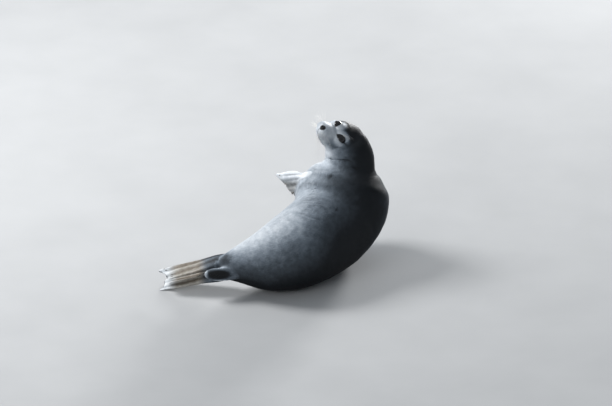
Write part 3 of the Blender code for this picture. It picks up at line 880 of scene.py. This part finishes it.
def tuft_mesh(name, roots, normal, lie, measures, plan, shades, rng):
    """Closed slivers with a ridge: each starts in the skin, runs along the lie and ends in a point."""
    count = len(roots)
    one_each = (count, 1)
    length, width, height, lift = (measures[:, [i]] for i in (0, 1, 2, 4))
    length = length * rng.uniform(0.7, 1.25, one_each)
    width = width * rng.uniform(0.75, 1.2, one_each)
    turn = rng.normal(0, 0.13, one_each)
    lie = unit(lie * np.cos(turn) + np.cross(normal, lie) * np.sin(turn))
    side = np.cross(normal, lie)
    lift = lift * rng.uniform(0.5, 1.5, one_each)
    bow = side * (rng.normal(0, 0.06, one_each) * length)
    middle = roots + lie * (TUFT_MIDDLE * length)
    corners = np.stack([roots - normal * height * 0.8,
                        middle + side * (width / 2) + bow * 0.5,
                        middle - side * (width / 2) + bow * 0.5,
                        middle + normal * (height + 0.4 * lift) + bow * 0.5,
                        roots + lie * length + normal * lift + bow], axis=1)
    corners[..., 2] = np.maximum(corners[..., 2], CLEAR_OF_FLOOR)
    tris = (TUFT_FACES + 5 * np.arange(count)[:, None, None]).reshape(-1, 3)
    mesh = bpy.data.meshes.new(name)
    mesh.from_pydata(corners.reshape(-1, 3).tolist(), [], tris.tolist())
    mesh.validate()
    mesh.shade_smooth()
    shown = unit(normal[:, None] + side[:, None] * TUFT_LEAN[:, None] + lie[:, None] * 0.1)
    mesh.normals_split_custom_set_from_vertices(shown.reshape(-1, 3).tolist())
    corner_uv = (plan[:, None] + TUFT_PATCH).reshape(-1, 2)[tris.ravel()]
    mesh.uv_layers.new(name="OFBake").data.foreach_set("uv", corner_uv.astype(np.float32).ravel())
    for key, values in shades.items():
        set_attribute(mesh, key, np.repeat(values, 5))
    set_attribute(mesh, "fleck", np.repeat(rng.random(count), 5))
    set_attribute(mesh, "tip", np.tile(TUFT_SHARE, count))
    return mesh


def make_coat(skin, weights):
    """The fur, in pieces of at most so many tufts."""
    surface = Surface(skin.data)
    normals = surface.normals()
    bright, warm, bare = markings_and_painted_light(surface.co, weights)
    measures = fur_at(surface.co, weights)
    bend = 1 - (normals * unit(surface.spread(normals, 3))).sum(axis=1)
    measures[:, 0] *= 1 - 0.6 * ease(surface.spread(bend, 2), 0.01, 0.12)  # shorter over sharp edges
    density = measures[:, 3] * (bare < 0.25) * (surface.co[:, 2] >= 0.0015)
    density = density * (1 - 0.85 * ease(bend, 0.03, 0.16))
    lie = square_to(surface.spread(lie_of_coat(surface.co, normals, weights), 40), normals)
    values = {"normal": normals, "lie": lie, "measures": measures, "bright": bright, "warm": warm,
              "weights": np.column_stack([weights[n] for n in FLESH])}
    roots, found = scattered(skin.data, values, density, seed=5)
    order = np.argsort(spine.read(roots)[0], kind="stable")
    pieces = []
    rng = np.random.default_rng(8)
    for index, chosen in enumerate(np.array_split(order, math.ceil(len(roots) / COAT_PIECE_TUFTS))):
        part = {name: array[chosen] for name, array in found.items()}
        plan = unwrap(roots[chosen], dict(zip(FLESH, part["weights"].T)))
        shades = {name: part[name][:, 0] for name in ("bright", "warm")}
        name = f"coat_{index + 1}"
        mesh = tuft_mesh(name, roots[chosen], unit(part["normal"]), unit(part["lie"]), part["measures"],
                         plan, shades, rng)
        mesh.materials.append(coat_material())
        pieces.append(new_object(name, mesh))
    return pieces


# ---- whiskers and brow bristles
WHISKER_RADIUS = 0.00038
BRISTLE_RADIUS = 0.00028
STRAND_SIDES = 5


def strand_rings(path, radius):
    """A thin hair along a path, tapered towards its tip."""
    along = unit(np.gradient(path, axis=0))
    across = unit(np.cross(along, (0.31, 0.17, 0.93)))
    over = np.cross(along, across)
    sizes = radius * (1 - 0.85 * np.linspace(0, 1, len(path)))[:, None]
    return [ring(*place, STRAND_SIDES) for place in zip(path, sizes * across, sizes * over)]


def make_whiskers(lookup):
    """Five rows on each side of the muzzle, and a row of bristles over each eye."""
    rng = np.random.default_rng(12)
    share = np.linspace(0, 1, 9)[:, None]

    def grown(spot, direction, droop, length):
        """A hair that leaves the skin near a spot in one direction, and bends towards another."""
        root = np.array(lookup.find_nearest(Vector(head.to_world(spot)))[0])
        direction, droop = unit(np.array(direction) @ head.rows), unit(np.array(droop) @ head.rows)
        wave = 0.0006 * np.sin(share * 22)
        return root + direction * share * length + droop * (share**2) * length * 0.28 + wave * droop

    whiskers, bristles = [], []
    for side in (1, -1):
        for row in range(5):
            for place in range(6 - row % 2):
                spot = (0.084 - 0.0062 * place, side * (0.0145 + 0.003 * place), -0.0285 - 0.0048 * row)
                outward = (0.3 - 0.12 * place, side * (0.75 + 0.05 * place), 0.05 - 0.22 * row)
                length = (0.026 + 0.0075 * place) * rng.uniform(0.8, 1.2)
                path = grown(spot, outward, (-0.6, side * 0.2, -0.6), length)
                whiskers.append(strand_rings(path, WHISKER_RADIUS))
        for place in range(6):
            spot = (0.016 - 0.0045 * (place % 3), side * (0.02 + 0.0042 * place), 0.036)
            outward = (-0.75, side * (0.02 + 0.08 * place), 0.72 - 0.03 * place)
            path = grown(spot, outward, (-1.0, side * 0.2, -1.1), rng.uniform(0.03, 0.052))
            bristles.append(strand_rings(path, BRISTLE_RADIUS))
    return [tube_piece(name, tubes, whisker_material())
            for name, tubes in (("whiskers", whiskers), ("brow_bristles", bristles))]


# ---- eyes and claws
EYE_RINGS, EYE_SEGMENTS = 40, 48
CORNEA_BULGE = 0.0009  # how far the cornea stands out from the eyeball
EYE_GAP = 0.0003  # how much smaller the eyeball is than the hollow behind the lids


def make_eye(name):
    """An eyeball with a slightly bulging cornea, turned the way it looks."""
    axes = EYES[name]
    angles = math.pi * np.linspace(0, 1, EYE_RINGS + 1) ** 1.3
    radii = EYE_RADIUS - EYE_GAP + CORNEA_BULGE * bump_at(angles, 0.55)
    middles = axes.to_world([(reach, 0, 0) for reach in radii * np.cos(angles)])
    rings = [ring(middle, size * axes.left, size * axes.up, EYE_SEGMENTS)
             for middle, size in zip(middles, radii * np.sin(angles))]
    eye = tube_piece("eyeball_" + name, [rings], eye_material(), closed=False)
    set_attribute(eye.data, "radial", np.repeat(angles * EYE_RADIUS, EYE_SEGMENTS))
    with edited(eye.data) as bm:
        bmesh.ops.remove_doubles(bm, verts=bm.verts, dist=1e-6)
        bmesh.ops.recalc_face_normals(bm, faces=bm.faces)
    return eye


CLAW_SHOWN = 0.74  # share of a claw's length that stands clear of the fur
CLAW_RINGS, CLAW_SIDES = 12, 12
CLAW_THICK = 0.13  # half its thickness at the root, as a share of its length
CLAW_TIP = 0.00025  # the radius of its tip
CLAW_REACH = 1.05  # how far it runs, in lengths


def make_claw(node, limb):
    """A round curved claw in the place of the frame's faceted one, its root sunk in the digit."""
    root, tip, sag = claw_line(node, limb)
    length = norm(tip - root) * CLAW_SHOWN
    along = unit(tip - root)
    across = unit(np.cross(along, (0.1, 0.2, 0.97)))
    rings = []
    for share in np.linspace(0, CLAW_REACH, CLAW_RINGS + 1):
        size = CLAW_THICK * length * (1 - share / CLAW_REACH) ** 0.75 + CLAW_TIP
        centre = root + along * length * share + sag * 4 * share * (1 - share)
        rings.append(ring(centre, 0.8 * size * across, size * np.cross(along, across), CLAW_SIDES))
    return tube_piece("horn_" + node, [rings], claw_material())


# ---- materials
class Nodes:
    """Short ways to make and join shader nodes. Inputs are given by the names or numbers of their sockets."""

    def __init__(self, name):
        self.material = bpy.data.materials.new(name)
        self.material.use_nodes = True
        self.tree = self.material.node_tree
        self.shader = self.tree.nodes["Principled BSDF"]

    def put(self, node, inputs):
        """Links each output to its socket, or sets a plain value there."""
        for name, value in inputs.items():
            if isinstance(value, bpy.types.NodeSocket):
                self.tree.links.new(value, node.inputs[name])
            else:
                node.inputs[name].default_value = value

    def add(self, kind, inputs, output=0, **settings):
        node = self.tree.nodes.new("ShaderNode" + kind)
        for name, value in settings.items():
            setattr(node, name, value)
        self.put(node, inputs)
        return node.outputs[output]

    def attribute(self, name):
        return self.add("Attribute", {}, "Fac", attribute_name=name)

    def noise(self, scale, detail, stretch=(1, 1, 1)):
        place = self.add("Mapping", {"Vector": self.add("TexCoord", {}, "Object"), "Scale": stretch})
        return self.add("TexNoise", {"Vector": place, "Scale": scale, "Detail": detail}, "Fac")

    def speckle(self, scale, detail, amount, low=0.3, high=0.7):
        """Noise that swings by an amount to either side of 0."""
        return self.spread(self.noise(scale, detail), low, high, -amount, amount)

    def math(self, operation, a, b, clamp=False):
        return self.add("Math", {0: a, 1: b}, operation=operation, use_clamp=clamp)

    def spread(self, value, low, high, to_low=0.0, to_high=1.0):
        return self.add("MapRange", {"Value": value, "From Min": low, "From Max": high, "To Min": to_low,
                                     "To Max": to_high})

    def ramp(self, value, stops):
        output = self.add("ValToRGB", {"Fac": value})
        elements = output.node.color_ramp.elements
        while len(elements) < len(stops):
            elements.new(0.5)
        for element, (place, colour) in zip(elements, stops):
            element.position = place
            element.color = (*colour, 1)
        return output

    def mix(self, share, a, b):
        return self.add("Mix", {0: share, 6: a, 7: b}, 2, data_type="RGBA")

    def bump(self, height, strength, distance):
        normal = self.add("Bump", {"Height": height, "Strength": strength, "Distance": distance})
        self.put(self.shader, {"Normal": normal})

    def finish(self, **values):
        self.put(self.shader, {name.replace("_", " "): value for name, value in values.items()})
        return self.material


# Cool and warm greys by brightness: each is about the linear colour of a grey that bright to the eye.
COAT_GREYS = ((0.0, (0.004, 0.005, 0.006)), (0.12, (0.013, 0.016, 0.02)), (0.3, (0.062, 0.076, 0.092)),
              (0.5, (0.178, 0.212, 0.25)), (0.7, (0.4, 0.445, 0.495)), (1.0, (0.86, 0.89, 0.92)))
WARM_GREYS = ((0.0, (0.005, 0.004, 0.003)), (0.3, (0.08, 0.062, 0.044)), (0.5, (0.215, 0.178, 0.135)),
              (0.7, (0.43, 0.4, 0.35)), (1.0, (0.88, 0.87, 0.84)))


def fur_colour(nodes, bright, *changes):
    """The coat's colour where it is so bright, with changes that fade away where it is black."""
    first, *others = changes
    for other in others:
        first = nodes.math("ADD", first, other)
    strength = nodes.spread(bright, 0.08, 0.4, 0.15, 1.0)
    total = nodes.math("ADD", bright, nodes.math("MULTIPLY", first, strength), clamp=True)
    return nodes.mix(nodes.attribute("warm"), nodes.ramp(total, COAT_GREYS), nodes.ramp(total, WARM_GREYS))


@cache
def coat_material():
    nodes = Nodes("seal_fur")
    fleck = nodes.spread(nodes.attribute("fleck"), 0.0, 1.0, -0.055, 0.055)
    tip = nodes.spread(nodes.attribute("tip"), 0.0, 1.0, -0.03, 0.03)
    patch = nodes.speckle(45, 4, 0.06)
    nodes.bump(nodes.noise(1500, 2), 0.25, 0.0004)
    return nodes.finish(Base_Color=fur_colour(nodes, nodes.attribute("bright"), fleck, tip, patch),
                        Roughness=0.6, Specular_IOR_Level=0.22, Sheen_Weight=0.16, Sheen_Roughness=0.22)


@cache
def skin_material():
    nodes = Nodes("seal_skin")
    patch = nodes.speckle(45, 4, 0.035)
    streaks = nodes.speckle(520, 4, 0.05)
    bare = nodes.attribute("bare")
    black = nodes.ramp(nodes.noise(260, 3), ((0.3, (0.006, 0.006, 0.007)), (0.7, (0.022, 0.021, 0.022))))
    nodes.bump(nodes.noise(900, 3), 0.5, 0.0009)
    return nodes.finish(
        Base_Color=nodes.mix(bare, fur_colour(nodes, nodes.attribute("bright"), patch, streaks), black),
        Roughness=nodes.spread(bare, 0.0, 1.0, 0.62, 0.36), Specular_IOR_Level=0.3, Sheen_Weight=0.05)


# The eye's colour from the middle of the pupil outwards: the iris is hardly lighter.
EYE_COLOURS = ((0.0, (0.0015, 0.0015, 0.002)), (0.34, (0.002, 0.002, 0.003)), (0.4, (0.01, 0.009, 0.01)),
               (0.62, (0.006, 0.005, 0.005)), (0.7, (0.002, 0.002, 0.002)), (1.0, (0.01, 0.008, 0.008)))


@cache
def eye_material():
    nodes = Nodes("eye_wet")
    fibres = nodes.speckle(420, 4, 0.0006, 0.35, 0.65)
    share = nodes.spread(nodes.math("ADD", nodes.attribute("radial"), fibres), 0.0, 0.02)
    return nodes.finish(Base_Color=nodes.ramp(share, EYE_COLOURS), Roughness=0.08, Coat_Weight=0.5,
                        Coat_Roughness=0.02, IOR=1.38)


@cache
def whisker_material():
    nodes = Nodes("whisker")
    colour = nodes.ramp(nodes.noise(300, 2), ((0.3, (0.62, 0.6, 0.56)), (0.7, (0.86, 0.85, 0.82))))
    return nodes.finish(Base_Color=colour, Roughness=0.35)


@cache
def claw_material():
    nodes = Nodes("claw_horn")
    stretched = nodes.noise(350, 4, (1, 1, 0.3))
    colour = nodes.ramp(stretched, ((0.3, (0.1, 0.088, 0.076)), (0.7, (0.24, 0.215, 0.19))))
    nodes.bump(nodes.noise(700, 3), 0.3, 0.0003)
    return nodes.finish(Base_Color=colour, Roughness=nodes.spread(nodes.noise(500, 2), 0.3, 0.7, 0.28, 0.5))


def floor_material():
    nodes = Nodes("studio_floor")
    colour = nodes.ramp(nodes.noise(3, 3), ((0.3, (0.4, 0.405, 0.41)), (0.7, (0.43, 0.435, 0.44))))
    return nodes.finish(Base_Color=colour, Roughness=0.8)


# ---- assembly
def put_on_root(piece, slot, *nodes):
    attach(piece, "root")
    if nodes:
        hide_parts(*nodes)


def make_seal():
    skin = make_skin()
    mesh = skin.data
    surface = Surface(mesh)
    weights = region_weights(surface, 8)
    for name, values in zip(("bright", "warm", "bare"), markings_and_painted_light(surface.co, weights)):
        set_attribute(mesh, name, values)
    mesh.materials.append(skin_material())
    put_on_root(skin, "coat", *FLESH)
    for piece in make_coat(skin, weights):
        put_on_root(piece, "coat")
    lookup = BVHTree.FromPolygons(surface.co.tolist(), triangles_of(mesh).tolist())
    for piece in make_whiskers(lookup):
        put_on_root(piece, "coat")
    for name, _ in EYE_SIDES:
        put_on_root(make_eye(name), "eye", "eye_" + name)
    for node, limb in CLAWS:
        put_on_root(make_claw(node, limb), "claw", node)


# ---- studio
ELEVATION = math.radians(25)
LOOK_AT = Vector((0.126, 0.151, 0.2))
VIEW_WIDTH = 2.448  # what the picture's width takes in at LOOK_AT
CAMERA_DISTANCE = 25.0
FLOOR_SIZE = 80
FLOOR_DROP = 0.0005  # the floor lies this far under the seal's flats
SKY = {"Color": (0.7, 0.76, 0.82, 1), "Strength": 0.5}
# The lamps, with place, size and power: a large soft key from the upper left and behind, a rim light from far
# behind, and a weak fill by the camera.
LAMPS = (("key", (-3.0, 1.6, 3.6), 1.8, 250), ("rim", (3.6, 7.5, 1.7), 1.7, 880),
         ("fill", (-2.4, -3.4, 2.2), 2.0, 40))
LAMPS_AIM = Vector((0.05, 0, 0.25))


def aimed(obj, place, direction):
    """Puts a lamp or a camera at a place and points it in a direction."""
    obj.location = place
    obj.rotation_euler = direction.to_track_quat("-Z", "Y").to_euler()


def make_studio():
    scene = bpy.context.scene
    bpy.ops.mesh.primitive_plane_add(size=FLOOR_SIZE, location=(0, 0, -FLOOR_DROP))
    floor = bpy.context.object
    floor.name = "studio_floor"
    floor.data.materials.append(floor_material())
    scene.world = bpy.data.worlds.new("studio")
    scene.world.use_nodes = True
    for name, value in SKY.items():
        scene.world.node_tree.nodes["Background"].inputs[name].default_value = value
    for name, place, size, power in LAMPS:
        light = bpy.data.lights.new(name, "AREA")
        light.size, light.energy = size, power
        aimed(new_object(name, light), Vector(place), LAMPS_AIM - Vector(place))
    data = bpy.data.cameras.new("camera")
    data.lens = data.sensor_width * CAMERA_DISTANCE / VIEW_WIDTH
    data.clip_end = 200
    scene.camera = new_object("camera", data)
    towards = Vector((0, -math.cos(ELEVATION), math.sin(ELEVATION)))
    aimed(scene.camera, LOOK_AT + towards * CAMERA_DISTANCE, -towards)
    scene.view_settings.view_transform = "Standard"


make_seal()
make_studio()
